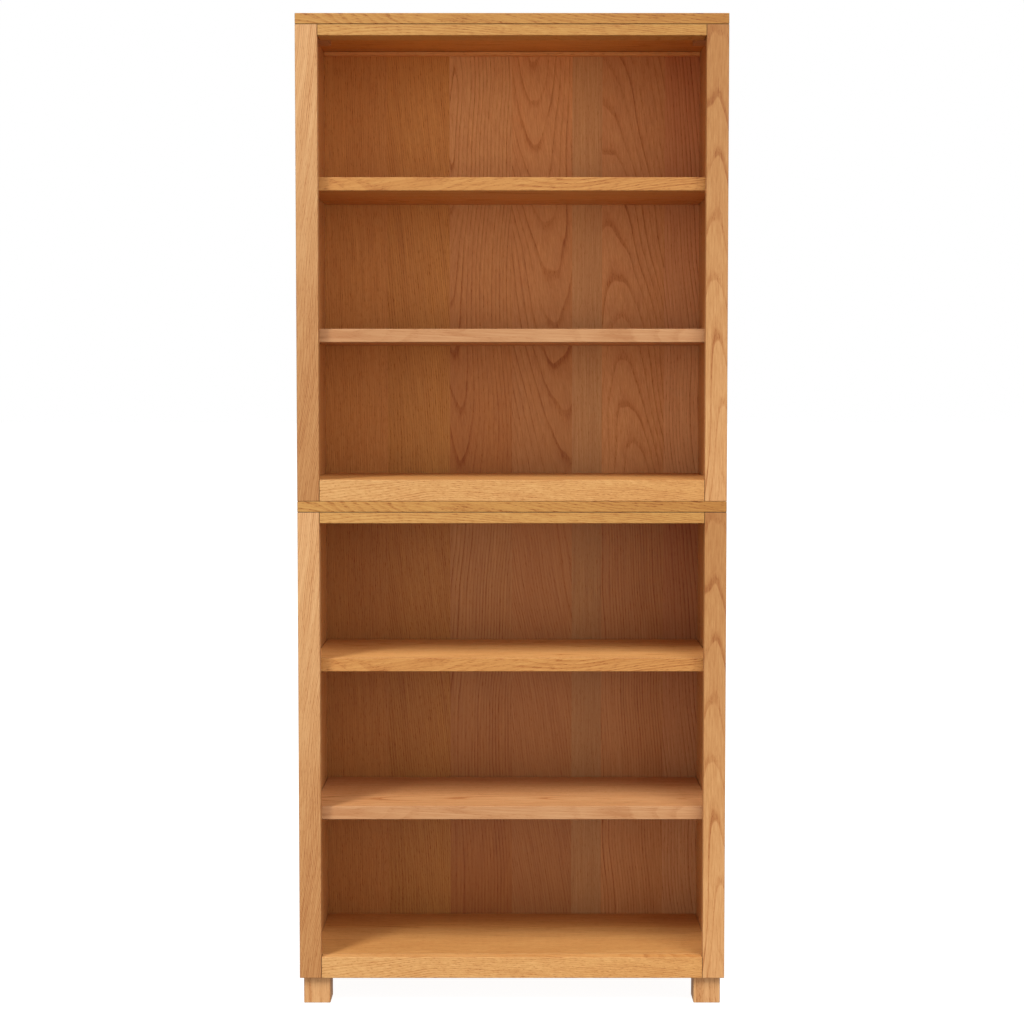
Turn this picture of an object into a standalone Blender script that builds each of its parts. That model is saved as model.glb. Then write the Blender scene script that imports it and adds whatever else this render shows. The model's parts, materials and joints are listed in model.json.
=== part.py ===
"""Tall oak bookcase made of two equal open cases, one standing on the other, with four adjustable shelves.

Blender 4.5 script, metres, +Z up. The front faces -Y and +X is to the right seen from the front.
The origin is the centre of the footprint, on the floor. Each shelf lies on four round pegs, which
are pushed into blind holes in the side panels and sit in grooves under the shelf's ends.
"""

import math

import bmesh
import bpy
from mathutils import Matrix, Vector

# ---------------------------------------------------------------- driving dimensions
WIDTH = 0.800                 # whole case, left to right
DEPTH = 0.320                 # whole case, front to back
FOOT = 0.050                  # square foot: its side and its height
CASE = 0.900                  # height of one case, of which two are stacked
TOP_BOARD = 0.020             # thickness
STILE = (0.041, 0.022)        # front upright: width, thickness
SIDE = 0.025                  # side panel thickness
TOP_RAIL = (0.021, 0.050)     # front rail under a top board: height, depth
BOTTOM_RAIL = 0.040           # front rail at a case's base: height, as thick as the stiles
BOTTOM_PANEL = 0.020          # thickness; its top is level with the bottom rail's
BACK = 0.012                  # back panel thickness
BACK_INSET = 0.008            # from the case's rear edge to the back panel
BACK_RABBET = 0.012           # how far the back panel reaches into each side panel
BATTEN = (0.008, 0.012)       # strip under the top board, before the back panel: height, depth

SHELF = 0.025                 # shelf thickness
SHELF_SETBACK = 0.0255        # from the stiles' front to the shelf's front edge
SHELF_END_GAP = 0.001         # at each end of a shelf
SHELF_BACK_GAP = 0.002        # behind a shelf

PEG_RADIUS = 0.0025
PEG_IN_HOLE = 0.010
PEG_SHOWN = 0.009             # length that stands out of the side panel
PEG_TRAVEL = PEG_IN_HOLE      # how far a peg pulls out of its hole
HOLE_PITCH = 0.032
HOLES_EACH_WAY = 2            # spare holes above and below each peg
PEG_COLUMN_FRONT = 0.037      # from the side panel's front edge to the front column of holes
PEG_COLUMN_SPACING = 6 * HOLE_PITCH
GROOVE = (PEG_SHOWN + PEG_TRAVEL + 0.003, 0.006, 0.0058)   # over a peg: length, width, height

FOOT_INSET = (0.007, 0.009)   # from the case's side, and from its front or back
FOOT_BOLT = (0.357, 0.120)    # a foot bolt's distance from the centre: sideways, front or back
FOOT_BOLT_RADIUS = 0.004
FOOT_BOLT_ENDS = (0.020, 0.068)   # lowest and highest point above the floor
CORNER_BLOCK = 0.060          # side of the square block that holds a foot bolt
TOP_BLOCK = (0.032, 0.060)    # block behind the top rail: width, depth

DOWEL = (0.004, 0.938, 0.968)     # radius, lowest and highest point
DOWEL_BACK = 0.100            # behind the centre
SCREW = (0.0025, 0.005, 0.003)    # shank radius, head radius, head height
SCREW_SIDE = 0.200            # sideways from the centre
SCREW_RECESS = 0.0015         # from the rail's underside to the screw's head
SCREW_TIP = 0.975

GAP = 0.0003                  # between pieces that touch
ARRIS = 0.0009                # width of the chamfer on a board's edges
SIDES = 10                    # of a small round piece or hole

# ---------------------------------------------------------------- places that follow from them
SIDE_NAMES = {"left": -1, "right": 1}
BACK_NAMES = {"front": -1, "back": 1}
CASE_BASE = {"lower": FOOT, "upper": FOOT + CASE}
UPRIGHT_BASE = {"lower": FOOT, "upper": FOOT + CASE + GAP}

FRONT_Y = -DEPTH / 2
REAR_Y = DEPTH / 2
FRAME_BACK_Y = FRONT_Y + STILE[1]
BACK_PANEL_Y = REAR_Y - BACK_INSET - BACK
STILE_IN_X = WIDTH / 2 - STILE[0]
SIDE_IN_X = WIDTH / 2 - SIDE
UPRIGHT = CASE - TOP_BOARD
RAIL_TOP_BAY = UPRIGHT - TOP_RAIL[0]
BAY = (RAIL_TOP_BAY - BOTTOM_RAIL - 2 * SHELF) / 3
SHELF_UNDERSIDES = {1: BOTTOM_RAIL + BAY, 2: BOTTOM_RAIL + 2 * BAY + SHELF}
PEG_ABOVE_UNDERSIDE = GROOVE[2] - GAP - PEG_RADIUS
PEG_COLUMNS = {
    "front": FRAME_BACK_Y + PEG_COLUMN_FRONT,
    "back": FRAME_BACK_Y + PEG_COLUMN_FRONT + PEG_COLUMN_SPACING,
}


# ---------------------------------------------------------------- helpers
def clear_scene():
    for thing in list(bpy.data.objects):
        bpy.data.objects.remove(thing)


def finish(name, colour, roughness, metallic=0.0):
    """A Principled material with the part's colour, roughness and metallic value."""
    material = bpy.data.materials.new(name)
    material.use_nodes = True
    shader = material.node_tree.nodes["Principled BSDF"]
    shader.inputs["Base Color"].default_value = (*colour, 1.0)
    shader.inputs["Roughness"].default_value = roughness
    shader.inputs["Metallic"].default_value = metallic
    return material


def linked(name, shape, material):
    """Turns a bmesh that is built around the origin into an object of the scene."""
    mesh = bpy.data.meshes.new(name)
    shape.to_mesh(mesh)
    shape.free()
    thing = bpy.data.objects.new(name, mesh)
    bpy.context.scene.collection.objects.link(thing)
    if material:
        mesh.materials.append(material)
    return thing


def box(shape, low, high):
    """Adds a box between two corners to a bmesh."""
    low, high = Vector(low), Vector(high)
    size = Matrix.Diagonal((*(high - low), 1.0))
    bmesh.ops.create_cube(shape, size=1.0, matrix=Matrix.Translation((low + high) / 2) @ size)


def rod(shape, start, end, radius):
    """Adds a straight round bar between two points to a bmesh."""
    start, end = Vector(start), Vector(end)
    turn = Vector((0, 0, 1)).rotation_difference(end - start).to_matrix().to_4x4()
    bmesh.ops.create_cone(
        shape, cap_ends=True, segments=SIDES, radius1=radius, radius2=radius,
        depth=(end - start).length, matrix=Matrix.Translation((start + end) / 2) @ turn,
    )


def chamfered(thing):
    bevel = thing.modifiers.new("arris", "BEVEL")
    bevel.width = ARRIS
    bevel.segments = 1
    bevel.limit_method = "ANGLE"
    return thing


def smooth(thing):
    thing.data.shade_smooth()
    thing.data.set_sharp_from_angle(angle=math.radians(40))
    return thing


def board(name, low, high, material):
    """A chamfered board between two corners, with its origin at its middle."""
    low, high = Vector(low), Vector(high)
    middle = (low + high) / 2
    shape = bmesh.new()
    box(shape, low - middle, high - middle)
    thing = linked(name, shape, material)
    thing.location = middle
    return chamfered(thing)


def side_spans(side, inner, outer):
    """The lowest and highest X of a piece between two distances from the centre, on one side."""
    return sorted((side * inner, side * outer))


def cut(thing, name, draw):
    """Takes the shape that draw() adds to a bmesh, in world coordinates, out of a piece."""
    shape = bmesh.new()
    draw(shape)
    cutter = linked(f"cutter_{name}", shape, None)
    cutter.hide_render = True
    cutter.display_type = "WIRE"
    hole = thing.modifiers.new(name, "BOOLEAN")
    hole.operation = "DIFFERENCE"
    hole.solver = "EXACT"
    hole.object = cutter


def lathe(shape, profile, place=(0.0, 0.0, 0.0)):
    """Adds a round body about a vertical axis, from (radius, height) points listed top to base."""
    place = Vector(place)
    line = [shape.verts.new(place + Vector((radius, 0.0, height))) for radius, height in profile]
    edges = [shape.edges.new(pair) for pair in zip(line, line[1:])]
    bmesh.ops.spin(
        shape, geom=line + edges, cent=place, axis=(0, 0, 1), angle=math.tau, steps=SIDES, use_merge=True,
    )
    bmesh.ops.remove_doubles(shape, verts=shape.verts[:], dist=1e-6)
    bmesh.ops.recalc_face_normals(shape, faces=shape.faces[:])


def turned(name, profile, place, material):
    """A round piece about a vertical axis, with its origin at place."""
    shape = bmesh.new()
    lathe(shape, profile)
    thing = linked(name, shape, material)
    thing.location = place
    return smooth(thing)


def pin_profile(radius, length, chamfer):
    """Half outline of a plain pin with chamfered ends."""
    tip = radius - chamfer
    return [
        (0.0, length), (tip, length), (radius, length - chamfer),
        (radius, chamfer), (tip, 0.0), (0.0, 0.0),
    ]


# ---------------------------------------------------------------- the case
def top_board(case, base, oak):
    """The full-width top. Dowels of the case above stand in the lower one, and screws pass through it."""
    low = (-WIDTH / 2, FRONT_Y, base + UPRIGHT)
    high = (WIDTH / 2, REAR_Y, base + CASE)
    thing = board(f"{case}_top_board", low, high, oak)
    if case == "lower":
        cut(thing, "stack_holes_top", stack_holes)


def front_frame(case, base, oak):
    """Two stiles and the rails between them, with their front faces level."""
    for name, side in SIDE_NAMES.items():
        low_x, high_x = side_spans(side, STILE_IN_X, WIDTH / 2)
        low = (low_x, FRONT_Y, UPRIGHT_BASE[case])
        high = (high_x, FRAME_BACK_Y, base + UPRIGHT - GAP)
        board(f"{case}_stile_{name}", low, high, oak)
    reach = STILE_IN_X - GAP
    low = (-reach, FRONT_Y, base + RAIL_TOP_BAY)
    high = (reach, FRONT_Y + TOP_RAIL[1], base + UPRIGHT - GAP)
    rail = board(f"{case}_top_rail", low, high, oak)
    if case == "lower":
        cut(rail, "stack_holes_rail", stack_holes)
    low = (-reach, FRONT_Y, UPRIGHT_BASE[case])
    high = (reach, FRAME_BACK_Y, base + BOTTOM_RAIL)
    rail = board(f"{case}_bottom_rail", low, high, oak)
    if case == "upper":
        cut(rail, "stack_holes_base", stack_holes)


def peg_height(base, number, step=0):
    return base + SHELF_UNDERSIDES[number] + PEG_ABOVE_UNDERSIDE + step * HOLE_PITCH


def peg_holes(shape, base, side):
    """Blind holes in two columns, a group of them around each shelf's pegs."""
    mouth = side * (SIDE_IN_X - 0.001)
    bottom = side * (SIDE_IN_X + PEG_IN_HOLE + GAP)
    for number in SHELF_UNDERSIDES:
        for column in PEG_COLUMNS.values():
            for step in range(-HOLES_EACH_WAY, HOLES_EACH_WAY + 1):
                height = peg_height(base, number, step)
                rod(shape, (mouth, column, height), (bottom, column, height), PEG_RADIUS + GAP)


def side_panel(case, base, name, side, oak):
    """A side panel with its peg holes and a rabbet along its rear edge for the back panel."""
    low_x, high_x = side_spans(side, SIDE_IN_X, WIDTH / 2)
    low = (low_x, FRAME_BACK_Y + GAP, UPRIGHT_BASE[case])
    high = (high_x, REAR_Y, base + UPRIGHT - GAP)
    thing = board(f"{case}_side_{name}", low, high, oak)

    def rabbet(shape):
        low_x, high_x = side_spans(side, SIDE_IN_X - 0.01, SIDE_IN_X + BACK_RABBET)
        box(shape, (low_x, BACK_PANEL_Y, base - 0.01), (high_x, REAR_Y + 0.01, base + CASE))

    cut(thing, f"{case}_{name}_rabbet", rabbet)
    cut(thing, f"{case}_{name}_holes", lambda shape: peg_holes(shape, base, side))
    if case == "upper":
        cut(thing, f"stack_holes_{name}", stack_holes)


def inner_panels(case, base, oak, back_oak):
    """The bottom panel, the back panel and the strip under the top board."""
    reach = SIDE_IN_X - GAP
    low = (-reach, FRAME_BACK_Y + GAP, base + BOTTOM_RAIL - BOTTOM_PANEL)
    high = (reach, BACK_PANEL_Y - GAP, base + BOTTOM_RAIL)
    board(f"{case}_bottom_panel", low, high, oak)
    back_reach = SIDE_IN_X + BACK_RABBET - GAP
    low = (-back_reach, BACK_PANEL_Y + GAP, base + GAP)
    high = (back_reach, BACK_PANEL_Y + BACK, base + UPRIGHT - GAP)
    board(f"{case}_back_panel", low, high, back_oak)
    low = (-reach, BACK_PANEL_Y - GAP - BATTEN[1], base + UPRIGHT - BATTEN[0])
    high = (reach, BACK_PANEL_Y - GAP, base + UPRIGHT - GAP)
    board(f"{case}_back_batten", low, high, back_oak)


def top_blocks(case, base, oak):
    """Blocks glued in the corners behind the top rail."""
    for name, side in SIDE_NAMES.items():
        low_x, high_x = side_spans(side, SIDE_IN_X - TOP_BLOCK[0], SIDE_IN_X - GAP)
        front = FRONT_Y + TOP_RAIL[1] + GAP
        low = (low_x, front, base + RAIL_TOP_BAY)
        high = (high_x, front + TOP_BLOCK[1], base + UPRIGHT - GAP)
        board(f"{case}_top_block_{name}", low, high, oak)


# ---------------------------------------------------------------- shelves and pegs
def shelf(case, base, number, oak):
    """A loose shelf with a stopped groove over each of its four pegs."""
    underside = base + SHELF_UNDERSIDES[number]
    reach = SIDE_IN_X - SHELF_END_GAP
    low = (-reach, FRONT_Y + SHELF_SETBACK, underside)
    high = (reach, BACK_PANEL_Y - SHELF_BACK_GAP, underside + SHELF)
    thing = board(f"{case}_shelf_{number}", low, high, oak)

    def grooves(shape):
        for side in SIDE_NAMES.values():
            low_x, high_x = side_spans(side, reach - GROOVE[0], reach + 0.01)
            for column in PEG_COLUMNS.values():
                half = GROOVE[1] / 2
                low = (low_x, column - half, underside - 0.01)
                box(shape, low, (high_x, column + half, underside + GROOVE[2]))

    cut(thing, f"{case}_shelf_{number}_grooves", grooves)


def pegs(case, base, number, metal):
    """Four pegs with chamfered ends, each with its origin on the axis along which it pulls out."""
    for side_name, side in SIDE_NAMES.items():
        for column_name, column in PEG_COLUMNS.items():
            profile = pin_profile(PEG_RADIUS, PEG_IN_HOLE + PEG_SHOWN, 0.0007)
            place = (side * (SIDE_IN_X - PEG_SHOWN), column, peg_height(base, number))
            name = f"{case}_peg_{number}_{side_name}_{column_name}"
            thing = turned(name, profile, place, metal)
            thing.rotation_euler = (0.0, side * math.pi / 2, 0.0)


# ---------------------------------------------------------------- what joins the cases
def screw_profile(room=0.0):
    """Half outline of a joining screw, or with room around it, of the hole that it needs."""
    shank, head, head_height = SCREW
    head_low = CASE_BASE["lower"] + RAIL_TOP_BAY + SCREW_RECESS
    head_top = head_low + head_height + room
    head_low -= 10 * room
    return [
        (0.0, SCREW_TIP + room), (shank * 0.5 + room, SCREW_TIP + room),
        (shank + room, SCREW_TIP - 0.004), (shank + room, head_top),
        (head + room, head_top), (head + room, head_low), (0.0, head_low),
    ]


def dowel_place(side):
    return (side * (SIDE_IN_X + SIDE / 2), DOWEL_BACK, DOWEL[1])


def screw_place(side):
    return (side * SCREW_SIDE, FRONT_Y + STILE[1] / 2, 0.0)


def stack_holes(shape):
    """The holes for the two dowels and two screws between the cases."""
    radius, _, high = DOWEL
    for side in SIDE_NAMES.values():
        x, y, low = dowel_place(side)
        rod(shape, (x, y, low - GAP), (x, y, high + GAP), radius + GAP)
        lathe(shape, screw_profile(room=GAP), screw_place(side))


def stack_fasteners(beech, steel):
    radius, low, high = DOWEL
    for name, side in SIDE_NAMES.items():
        profile = pin_profile(radius, high - low, 0.001)
        turned(f"stack_dowel_{name}", profile, dowel_place(side), beech)
        turned(f"stack_screw_{name}", screw_profile(), screw_place(side), steel)


# ---------------------------------------------------------------- feet
def feet(oak, block_oak, steel):
    """Each foot hangs on a bolt that stands in a block glued into the case's bottom corner."""
    for end_name, end in BACK_NAMES.items():
        for side_name, side in SIDE_NAMES.items():
            place = f"{end_name}_{side_name}"
            outer = (WIDTH / 2 - FOOT_INSET[0], DEPTH / 2 - FOOT_INSET[1])
            low_x, high_x = side_spans(side, outer[0] - FOOT, outer[0])
            low_y, high_y = side_spans(end, outer[1] - FOOT, outer[1])
            foot = board(f"foot_{place}", (low_x, low_y, 0.0), (high_x, high_y, FOOT - GAP), oak)

            wall = -FRAME_BACK_Y if end < 0 else BACK_PANEL_Y
            low_x, high_x = side_spans(side, SIDE_IN_X - CORNER_BLOCK, SIDE_IN_X - GAP)
            low_y, high_y = side_spans(end, wall - CORNER_BLOCK, wall - GAP)
            top = FOOT + BOTTOM_RAIL - BOTTOM_PANEL - GAP
            block = board(f"corner_block_{place}", (low_x, low_y, FOOT), (high_x, high_y, top), block_oak)

            x, y = side * FOOT_BOLT[0], end * FOOT_BOLT[1]
            low, high = FOOT_BOLT_ENDS
            radius = FOOT_BOLT_RADIUS
            profile = pin_profile(radius, high - low, 0.0015)
            turned(f"foot_bolt_{place}", profile, (x, y, low), steel)

            def hole(shape, x=x, y=y):
                rod(shape, (x, y, low - GAP), (x, y, high + GAP), radius + GAP)

            cut(foot, f"foot_hole_{place}", hole)
            cut(block, f"block_hole_{place}", hole)


def main():
    clear_scene()
    top_oak = finish("top_oak", (0.60, 0.28, 0.08), 0.45)
    frame_oak = finish("frame_oak", (0.66, 0.33, 0.12), 0.45)
    side_oak = finish("side_oak", (0.58, 0.28, 0.09), 0.45)
    shelf_oak = finish("shelf_oak", (0.61, 0.29, 0.09), 0.45)
    back_oak = finish("back_oak", (0.48, 0.21, 0.07), 0.50)
    foot_oak = finish("foot_oak", (0.68, 0.36, 0.15), 0.45)
    block_oak = finish("block_oak", (0.50, 0.30, 0.15), 0.60)
    beech = finish("beech", (0.62, 0.42, 0.24), 0.60)
    steel = finish("steel", (0.55, 0.55, 0.56), 0.35, 1.0)

    for case, base in CASE_BASE.items():
        top_board(case, base, top_oak)
        front_frame(case, base, frame_oak)
        for name, side in SIDE_NAMES.items():
            side_panel(case, base, name, side, side_oak)
        inner_panels(case, base, shelf_oak, back_oak)
        top_blocks(case, base, block_oak)
        for number in SHELF_UNDERSIDES:
            shelf(case, base, number, shelf_oak)
            pegs(case, base, number, steel)
    stack_fasteners(beech, steel)
    feet(foot_oak, block_oak, steel)


main()
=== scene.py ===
import json
import math
import random

import bmesh
import bpy
from mathutils import Matrix, Vector

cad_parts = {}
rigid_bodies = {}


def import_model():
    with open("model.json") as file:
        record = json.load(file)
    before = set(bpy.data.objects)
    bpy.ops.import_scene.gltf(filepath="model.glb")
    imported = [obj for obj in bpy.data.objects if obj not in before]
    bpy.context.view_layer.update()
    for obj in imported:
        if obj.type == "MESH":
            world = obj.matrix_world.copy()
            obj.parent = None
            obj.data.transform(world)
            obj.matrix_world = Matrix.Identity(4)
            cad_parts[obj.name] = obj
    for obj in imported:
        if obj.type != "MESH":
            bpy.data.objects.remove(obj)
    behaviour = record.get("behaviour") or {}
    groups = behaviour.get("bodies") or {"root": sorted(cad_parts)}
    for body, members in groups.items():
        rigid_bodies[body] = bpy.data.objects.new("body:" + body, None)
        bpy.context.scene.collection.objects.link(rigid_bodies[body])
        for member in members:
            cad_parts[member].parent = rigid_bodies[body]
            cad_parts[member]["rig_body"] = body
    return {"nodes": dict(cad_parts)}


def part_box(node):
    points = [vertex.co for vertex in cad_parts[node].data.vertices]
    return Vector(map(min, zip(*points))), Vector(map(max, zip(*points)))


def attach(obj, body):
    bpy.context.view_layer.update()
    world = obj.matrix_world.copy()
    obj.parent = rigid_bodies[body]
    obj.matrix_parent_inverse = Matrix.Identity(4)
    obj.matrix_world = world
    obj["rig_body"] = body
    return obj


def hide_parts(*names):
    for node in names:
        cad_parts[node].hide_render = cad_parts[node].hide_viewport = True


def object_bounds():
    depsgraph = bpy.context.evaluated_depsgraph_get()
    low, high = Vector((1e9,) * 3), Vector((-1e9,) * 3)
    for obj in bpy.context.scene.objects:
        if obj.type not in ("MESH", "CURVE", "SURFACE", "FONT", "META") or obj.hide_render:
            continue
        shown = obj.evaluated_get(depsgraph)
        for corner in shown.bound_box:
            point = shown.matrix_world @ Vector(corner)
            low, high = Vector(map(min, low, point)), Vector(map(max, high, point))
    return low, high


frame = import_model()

CAD_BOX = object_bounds()

# Looks of the oak bookcase. Every wooden piece is cut out of its own log: three attributes of
# each mesh say where in its log a point lies, what colour the plank has there, and how it grew.
# One shader turns them into growth rings, pores and fibres, so faces, edges and end grain agree.

ACROSS_X, ACROSS_Y, UP = 0, 1, 2

# ---------------------------------------------------------------- sizes the looks need, in metres
ARRIS = 0.0011              # rounding of a board's edges
ARRIS_STEPS = 3
ARRIS_TONE = 0.88           # the rounded edges are coloured a little darker
SEAM_PAINTED_SHADE = 0.30            # painted shade in the joint lines where two boards meet, much darker
PEG_HOLE = (0.0028, 0.0103)   # radius, depth
HOLE_START = 0.001          # how far the cutters of peg holes and of screw crosses stand out
HOLE_PITCH = 0.032
HOLES_EACH_WAY = 2
PEG_SHOWN = 0.009
GROOVE = (0.022, 0.006, 0.0058)   # over a peg: length, width, height
GROOVE_ARC = 8              # steps of its round end
CUTTER_OUT = 0.01           # how far other cutters stand out
RABBET = 0.012              # how far the back panel reaches into a side panel
FIT = 0.0003                # room between pieces that touch
DOWEL_RADIUS = 0.004
SCREW_SHANK = 0.0025
SCREW_HEAD = (0.005, 0.003)   # radius, height
BOLT_RADIUS = 0.004
BOLT_BEVEL, DOWEL_BEVEL = 0.0015, 0.001
SCREW_THREAD = (0.012, 0.003, 12, 0.0006)   # above the head, below the tip, turns, depth
BOLT_THREAD = (0.002, 0.0015, 22, 0.0006)   # above the foot, below the tip, turns, depth
BACK_SCREW = (0.0040, 0.0016, 0.0026)   # head radius, shank radius, depth of the countersink
BACK_SCREW_ROOM = (0.0021, 0.0001)      # how much wider the countersink is, at its top and base
BACK_SCREW_OUT = 0.002      # how far the countersink's cutter stands out
BACK_SCREW_SUNK = 0.00025
BACK_SCREW_CROSS = (0.0019, 0.00042, 0.0011)   # arm length, half its width, depth
BACK_SCREW_ROWS = 5         # screws along each upright edge of a back panel
BACK_SCREW_COLUMNS = (-0.72, -0.36, 0.0, 0.36, 0.72)   # shares of its half width
BACK_SCREW_INSET = 0.06     # the end screws' distance from a back panel's ends
ROUND_SIDES = 24
WELD = 1e-6                 # points closer than this are one point
SHARP_TURN = 0.5            # radians; a sharper edge gets rounded
SCREW_SIDES = 20
SMOOTH_UP_TO = 35           # degrees
FLAT = 0.9999               # a flat face's normal has such a part
JOINED = 0.3                # a rounded edge belongs to a side if its normal has such a part
LOG_STEP, SEED_STEP = 3.7, 11   # metres between two planks' places in a log
FIXED = "carcass"           # the body of all that doesn't move

# ---------------------------------------------------------------- colours of the oiled oak, linear
ORANGE = (0.62, 0.285, 0.085)
GOLDEN = (0.66, 0.335, 0.115)
# of the front boards: light, deep
TOP_BOARD = (0.592, 0.283, 0.070), (0.511, 0.222, 0.046)
TOP_RAIL = (0.62, 0.305, 0.083), (0.57, 0.27, 0.065)
BOTTOM_RAIL = (0.727, 0.375, 0.128), (0.69, 0.325, 0.095)
LEFT_STILE = (0.72, 0.38, 0.156), (0.540, 0.243, 0.078)
RIGHT_STILE = (0.675, 0.323, 0.115), (0.485, 0.207, 0.060)
SHELVES = {1: (0.575, 0.27, 0.110), 2: (0.605, 0.264, 0.067)}   # pinkish, orange
# painted light: the batten sits in shade under the top board and is painted paler, as if lit like the
# back panel
BATTEN_PAINTED_LIGHT = (0.86, 0.388, 0.112)
BLOCK = (0.50, 0.23, 0.09)
FOOT = (0.72, 0.36, 0.138)
BEECH = (0.70, 0.45, 0.25)
BRIGHT_STEEL = (0.74, 0.74, 0.76), 0.22      # colour, roughness
YELLOWED_STEEL = (0.78, 0.66, 0.42), 0.26
# painted shade: the bottom panel's upper face is painted a little darker and less blue than its other
# faces
BOTTOM_TOP_PAINTED_SHADE = (0.98, 0.95, 0.86)
UNDER_TOP_BOARD_PAINTED_LIGHT = 1.25      # painted light: its lower face is painted paler
SHELF_TOPS_PAINTED_LIGHT = {1: (1.09, 1.12, 1.07), 2: (1.21, 1.40, 1.80)}   # painted light: the shelves' upper faces are painted paler too
# painted light: the lower case's front boards and shelves are painted paler than the upper case's
FRONT_PAINTED_LIGHT = {"lower": 1.04, "upper": 1.0}
BACK_PAINTED_SHADE = {   # painted shade on the back panels' low and high ends: the lower case's back is painted darker
    "lower": ((0.785, 0.735, 0.70), (0.655, 0.635, 0.61)),
    "upper": ((1.0, 1.0, 1.0), (1.0, 1.0, 1.0)),
}


# ---------------------------------------------------------------- how the oak grew, in metres
SLOW_WANDER = 0.070         # how far the log's middle strays
RING_BEND, RING_RIPPLE = 0.014, 0.0022
EARLY_WIDTH = 0.0045        # width of a ring's early and late wood, in a ring that is wider
EARLY_WOOD = ((0.0, 0.10), (0.06, 0.95), (0.20, 1.0), (0.38, 0.32), (0.70, 0.05), (1.0, 0.0))
SHADE_GAMMA = (0.80, 1.42, 2.05)   # a darker spot is also redder
BEECH_GAMMA = (0.9, 1.0, 1.15)
WOOD_GLOSS = {   # roughness between the pores, by slot
    "frame_oak": 0.43, "top_oak": 0.42, "shelf_oak": 0.42, "side_oak": 0.44,
    "back_oak": 0.50, "foot_oak": 0.46, "block_oak": 0.62,
}
BEECH_GLOSS = 0.55
WOOD_BUMP, STEEL_BUMP = (0.35, 0.0004), (0.25, 0.00008)   # strength, distance

# Widths of the glued boards' staves in millimetres, from front to back.
TOP_STAVES = (22, 80, 66, 88, 64)
SIDE_STAVES = (70, 86, 64, 78)
BOTTOM_STAVES = (92, 74, 96)
SHELF_STAVES = (24, 80, 76, 84)
LOGS = {   # pith, lean, figure, pitch, pore share: see Plank
    "top_front": ((0.060, -0.020), (0.020, 0.130), 0.75, 3.2, 1.5),
    "stile_right": ((0.002, 0.040), (0.015, -0.065), 1.05, 8.0, 0.7),
    "top_rail": ((-0.090, 0.030), (0.120, 0.100), 0.85, 3.6, 1.0),
    "bottom_rail": ((-0.110, 0.040), (0.060, 0.160), 0.8, 3.4, 1.0),
    "shelf_1_front": ((0.130, 0.010), (0.010, 0.040), 0.4, 4.0, 0.5),
    "shelf_1_top": ((0.006, 0.048), (0.015, 0.060), 1.25, 8.0, 0.7),
    "shelf_2_front": ((0.070, 0.030), (0.010, -0.140), 0.75, 3.2, 1.3),
}
BACK_STAVES = (   # width, low colour, high colour, pore share, pith, lean, figure, pitch
    (137, (0.62, 0.257, 0.057), (0.675, 0.275, 0.059), 1.0, (-0.150, 0.060), (0.035, 0.020), 0.50, 3.4),
    (125, (0.555, 0.232, 0.043), (0.68, 0.275, 0.054), 1.1, (-0.120, 0.060), (0.110, 0.020), 0.80, 3.8),
    (125, (0.472, 0.160, 0.030), (0.735, 0.330, 0.102), 0.8, (-0.056, 0.020), (0.010, 0.085), 0.95, 7.8),
    (121, (0.506, 0.200, 0.053), (0.715, 0.292, 0.083), 0.7, (0.020, 0.085), (0.100, 0.085), 0.95, 7.6),
    (60, (0.59, 0.285, 0.097), (0.655, 0.304, 0.096), 0.7, (0.140, 0.050), (0.004, 0.004), 0.30, 3.0),
    (125, (0.690, 0.303, 0.095), (0.635, 0.256, 0.073), 0.8, (-0.038, 0.085), (0.090, -0.090), 0.92, 7.6),
    (81, (0.775, 0.385, 0.147), (0.590, 0.202, 0.058), 0.9, (0.090, 0.050), (0.060, 0.020), 0.98, 6.0),
)
STRAIGHT_STAVES = {   # straight-grained in the lower case: pith, lean, figure, pitch
    2: ((-0.110, 0.060), (-0.010, 0.020), 1.00, 5.6),
    3: ((0.120, 0.070), (0.150, 0.010), 0.55, 4.4),
    5: ((-0.125, 0.050), (0.050, 0.010), 1.00, 5.2),
}

# ---------------------------------------------------------------- floor, light and camera
FLOOR_SIZE = 60.0
FLOOR_LEVEL, FLOOR_GRAIN = 0.20, 0.03
FLOOR_GLOW = 0.94
LOBES = (   # of the sky: azimuth, elevation, sharpness, radiance
    (0, 90, 0, 0.25),
    (45, 20, 4, 0.63),
    (30, 0, 16, 0.60),
    (-30, 0, 16, 1.36),
    (135, 25, 4, 0.45),
    (-135, 25, 4, 0.45),
)
LAMPS = {   # azimuth, elevation, distance, width, height, strength
    "key": (-37, 54, 30.0, 4.6, 14.0, 0.59),
    "fill": (30, 54, 30.0, 14.0, 14.0, 0.40),
}
CAMERA_PLACE = (0.0, -3.70, 1.16)
CAMERA_DOWN = 2.788         # degrees
CAMERA_LENS, CAMERA_SENSOR = 66.96, 36.0   # millimetres
CAMERA_SHIFT = -0.030


class Plank:
    """A strip of a glued board: its share of the width, its place in the log, its colour at
    the low and the high end, how strong its rings are, how far apart, and how many pores it has."""

    def __init__(self, share, pith, lean, low, high=None, figure=1.0, pitch=4.2, pores=1.0):
        self.share = share
        self.pith = pith          # the log's middle from the plank's own: across, through
        self.lean = lean          # how the log's middle wanders off along the plank
        self.low = low
        self.high = high or low
        self.figure = figure
        self.pitch = pitch        # millimetres
        self.pores = pores


def shaded(colour, factor):
    factors = factor if isinstance(factor, tuple) else (factor,) * 3
    return tuple(min(value * share, 1.0) for value, share in zip(colour, factors))


def mixed(first, second, share):
    return tuple(a + (b - a) * share for a, b in zip(first, second))


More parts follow.
